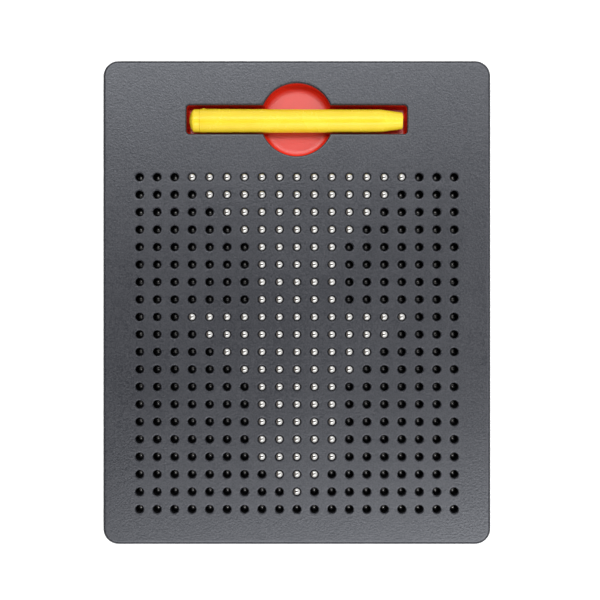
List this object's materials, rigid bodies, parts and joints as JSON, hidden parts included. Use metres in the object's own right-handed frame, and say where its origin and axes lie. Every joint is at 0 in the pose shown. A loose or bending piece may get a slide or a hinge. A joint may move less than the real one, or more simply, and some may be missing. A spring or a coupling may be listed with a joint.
{
  "type": "magnetic ball drawing board",
  "caption": "Flat grey case with a grid of steel balls in wells, which a magnet stylus lifts and a finger presses back, and a red tray that holds the yellow stylus.",
  "frame": {"origin": "middle of the back, on the surface that the board lies on", "axes": "+X across the board to the right, +Y up the board towards the stylus tray, +Z out of the drawing face"},
  "size_m": [0.21, 0.262, 0.0168],
  "materials": {
    "grey_shell": "dark grey injection-moulded plastic with a fine leather-like grain",
    "black_grid": "matte black injection-moulded plastic",
    "red_tray": "satin red injection-moulded plastic",
    "yellow_stylus": "smooth glossy yellow plastic",
    "steel_ball": "polished steel",
    "zinc_screw": "zinc-plated steel",
    "magnet_plating": "nickel-plated magnet"
  },
  "bodies": {
    "case": {"top_cover": "grey_shell", "well_grid": "black_grid", "back_cover": "grey_shell", "pen_tray": "red_tray", "back_cover_screws": "zinc_screw"},
    "stylus": {"stylus_barrel": "yellow_stylus", "stylus_plug": "yellow_stylus", "stylus_magnet": "magnet_plating"},
    "raised_balls_row_01": {"raised_balls_row_01": "steel_ball"},
    "raised_balls_row_02": {"raised_balls_row_02": "steel_ball"},
    "raised_balls_row_03": {"raised_balls_row_03": "steel_ball"},
    "raised_balls_row_04": {"raised_balls_row_04": "steel_ball"},
    "raised_balls_row_05": {"raised_balls_row_05": "steel_ball"},
    "raised_balls_row_06": {"raised_balls_row_06": "steel_ball"},
    "raised_balls_row_07": {"raised_balls_row_07": "steel_ball"},
    "raised_balls_row_08": {"raised_balls_row_08": "steel_ball"},
    "raised_balls_row_09": {"raised_balls_row_09": "steel_ball"},
    "raised_balls_row_10": {"raised_balls_row_10": "steel_ball"},
    "raised_balls_row_11": {"raised_balls_row_11": "steel_ball"},
    "raised_balls_row_12": {"raised_balls_row_12": "steel_ball"},
    "raised_balls_row_13": {"raised_balls_row_13": "steel_ball"},
    "raised_balls_row_14": {"raised_balls_row_14": "steel_ball"},
    "raised_balls_row_15": {"raised_balls_row_15": "steel_ball"},
    "raised_balls_row_16": {"raised_balls_row_16": "steel_ball"},
    "raised_balls_row_17": {"raised_balls_row_17": "steel_ball"},
    "raised_balls_row_18": {"raised_balls_row_18": "steel_ball"},
    "raised_balls_row_19": {"raised_balls_row_19": "steel_ball"},
    "resting_balls_row_01": {"resting_balls_row_01": "steel_ball"},
    "resting_balls_row_02": {"resting_balls_row_02": "steel_ball"},
    "resting_balls_row_03": {"resting_balls_row_03": "steel_ball"},
    "resting_balls_row_04": {"resting_balls_row_04": "steel_ball"},
    "resting_balls_row_05": {"resting_balls_row_05": "steel_ball"},
    "resting_balls_row_06": {"resting_balls_row_06": "steel_ball"},
    "resting_balls_row_07": {"resting_balls_row_07": "steel_ball"},
    "resting_balls_row_08": {"resting_balls_row_08": "steel_ball"},
    "resting_balls_row_09": {"resting_balls_row_09": "steel_ball"},
    "resting_balls_row_10": {"resting_balls_row_10": "steel_ball"},
    "resting_balls_row_11": {"resting_balls_row_11": "steel_ball"},
    "resting_balls_row_12": {"resting_balls_row_12": "steel_ball"},
    "resting_balls_row_13": {"resting_balls_row_13": "steel_ball"},
    "resting_balls_row_14": {"resting_balls_row_14": "steel_ball"},
    "resting_balls_row_15": {"resting_balls_row_15": "steel_ball"},
    "resting_balls_row_16": {"resting_balls_row_16": "steel_ball"},
    "resting_balls_row_17": {"resting_balls_row_17": "steel_ball"},
    "resting_balls_row_18": {"resting_balls_row_18": "steel_ball"},
    "resting_balls_row_19": {"resting_balls_row_19": "steel_ball"},
    "resting_balls_row_20": {"resting_balls_row_20": "steel_ball"}
  },
  "joints": [
    {"name": "stylus_lift", "type": "slide", "parent": "case", "child": "stylus", "axis": [0, 0, 1], "range_m": [0, 0.04]},
    {"name": "press_row_01", "type": "slide", "parent": "case", "child": "raised_balls_row_01", "axis": [0, 0, 1], "range_m": [-0.00668, 0]},
    {"name": "press_row_02", "type": "slide", "parent": "case", "child": "raised_balls_row_02", "axis": [0, 0, 1], "range_m": [-0.00668, 0]},
    {"name": "press_row_03", "type": "slide", "parent": "case", "child": "raised_balls_row_03", "axis": [0, 0, 1], "range_m": [-0.00668, 0]},
    {"name": "press_row_04", "type": "slide", "parent": "case", "child": "raised_balls_row_04", "axis": [0, 0, 1], "range_m": [-0.00668, 0]},
    {"name": "press_row_05", "type": "slide", "parent": "case", "child": "raised_balls_row_05", "axis": [0, 0, 1], "range_m": [-0.00668, 0]},
    {"name": "press_row_06", "type": "slide", "parent": "case", "child": "raised_balls_row_06", "axis": [0, 0, 1], "range_m": [-0.00668, 0]},
    {"name": "press_row_07", "type": "slide", "parent": "case", "child": "raised_balls_row_07", "axis": [0, 0, 1], "range_m": [-0.00668, 0]},
    {"name": "press_row_08", "type": "slide", "parent": "case", "child": "raised_balls_row_08", "axis": [0, 0, 1], "range_m": [-0.00668, 0]},
    {"name": "press_row_09", "type": "slide", "parent": "case", "child": "raised_balls_row_09", "axis": [0, 0, 1], "range_m": [-0.00668, 0]},
    {"name": "press_row_10", "type": "slide", "parent": "case", "child": "raised_balls_row_10", "axis": [0, 0, 1], "range_m": [-0.00668, 0]},
    {"name": "press_row_11", "type": "slide", "parent": "case", "child": "raised_balls_row_11", "axis": [0, 0, 1], "range_m": [-0.00668, 0]},
    {"name": "press_row_12", "type": "slide", "parent": "case", "child": "raised_balls_row_12", "axis": [0, 0, 1], "range_m": [-0.00668, 0]},
    {"name": "press_row_13", "type": "slide", "parent": "case", "child": "raised_balls_row_13", "axis": [0, 0, 1], "range_m": [-0.00668, 0]},
    {"name": "press_row_14", "type": "slide", "parent": "case", "child": "raised_balls_row_14", "axis": [0, 0, 1], "range_m": [-0.00668, 0]},
    {"name": "press_row_15", "type": "slide", "parent": "case", "child": "raised_balls_row_15", "axis": [0, 0, 1], "range_m": [-0.00668, 0]},
    {"name": "press_row_16", "type": "slide", "parent": "case", "child": "raised_balls_row_16", "axis": [0, 0, 1], "range_m": [-0.00668, 0]},
    {"name": "press_row_17", "type": "slide", "parent": "case", "child": "raised_balls_row_17", "axis": [0, 0, 1], "range_m": [-0.00668, 0]},
    {"name": "press_row_18", "type": "slide", "parent": "case", "child": "raised_balls_row_18", "axis": [0, 0, 1], "range_m": [-0.00668, 0]},
    {"name": "press_row_19", "type": "slide", "parent": "case", "child": "raised_balls_row_19", "axis": [0, 0, 1], "range_m": [-0.00668, 0]},
    {"name": "lift_row_01", "type": "slide", "parent": "case", "child": "resting_balls_row_01", "axis": [0, 0, 1], "range_m": [0, 0.00668]},
    {"name": "lift_row_02", "type": "slide", "parent": "case", "child": "resting_balls_row_02", "axis": [0, 0, 1], "range_m": [0, 0.00668]},
    {"name": "lift_row_03", "type": "slide", "parent": "case", "child": "resting_balls_row_03", "axis": [0, 0, 1], "range_m": [0, 0.00668]},
    {"name": "lift_row_04", "type": "slide", "parent": "case", "child": "resting_balls_row_04", "axis": [0, 0, 1], "range_m": [0, 0.00668]},
    {"name": "lift_row_05", "type": "slide", "parent": "case", "child": "resting_balls_row_05", "axis": [0, 0, 1], "range_m": [0, 0.00668]},
    {"name": "lift_row_06", "type": "slide", "parent": "case", "child": "resting_balls_row_06", "axis": [0, 0, 1], "range_m": [0, 0.00668]},
    {"name": "lift_row_07", "type": "slide", "parent": "case", "child": "resting_balls_row_07", "axis": [0, 0, 1], "range_m": [0, 0.00668]},
    {"name": "lift_row_08", "type": "slide", "parent": "case", "child": "resting_balls_row_08", "axis": [0, 0, 1], "range_m": [0, 0.00668]},
    {"name": "lift_row_09", "type": "slide", "parent": "case", "child": "resting_balls_row_09", "axis": [0, 0, 1], "range_m": [0, 0.00668]},
    {"name": "lift_row_10", "type": "slide", "parent": "case", "child": "resting_balls_row_10", "axis": [0, 0, 1], "range_m": [0, 0.00668]},
    {"name": "lift_row_11", "type": "slide", "parent": "case", "child": "resting_balls_row_11", "axis": [0, 0, 1], "range_m": [0, 0.00668]},
    {"name": "lift_row_12", "type": "slide", "parent": "case", "child": "resting_balls_row_12", "axis": [0, 0, 1], "range_m": [0, 0.00668]},
    {"name": "lift_row_13", "type": "slide", "parent": "case", "child": "resting_balls_row_13", "axis": [0, 0, 1], "range_m": [0, 0.00668]},
    {"name": "lift_row_14", "type": "slide", "parent": "case", "child": "resting_balls_row_14", "axis": [0, 0, 1], "range_m": [0, 0.00668]},
    {"name": "lift_row_15", "type": "slide", "parent": "case", "child": "resting_balls_row_15", "axis": [0, 0, 1], "range_m": [0, 0.00668]},
    {"name": "lift_row_16", "type": "slide", "parent": "case", "child": "resting_balls_row_16", "axis": [0, 0, 1], "range_m": [0, 0.00668]},
    {"name": "lift_row_17", "type": "slide", "parent": "case", "child": "resting_balls_row_17", "axis": [0, 0, 1], "range_m": [0, 0.00668]},
    {"name": "lift_row_18", "type": "slide", "parent": "case", "child": "resting_balls_row_18", "axis": [0, 0, 1], "range_m": [0, 0.00668]},
    {"name": "lift_row_19", "type": "slide", "parent": "case", "child": "resting_balls_row_19", "axis": [0, 0, 1], "range_m": [0, 0.00668]},
    {"name": "lift_row_20", "type": "slide", "parent": "case", "child": "resting_balls_row_20", "axis": [0, 0, 1], "range_m": [0, 0.00668]}
  ]
}
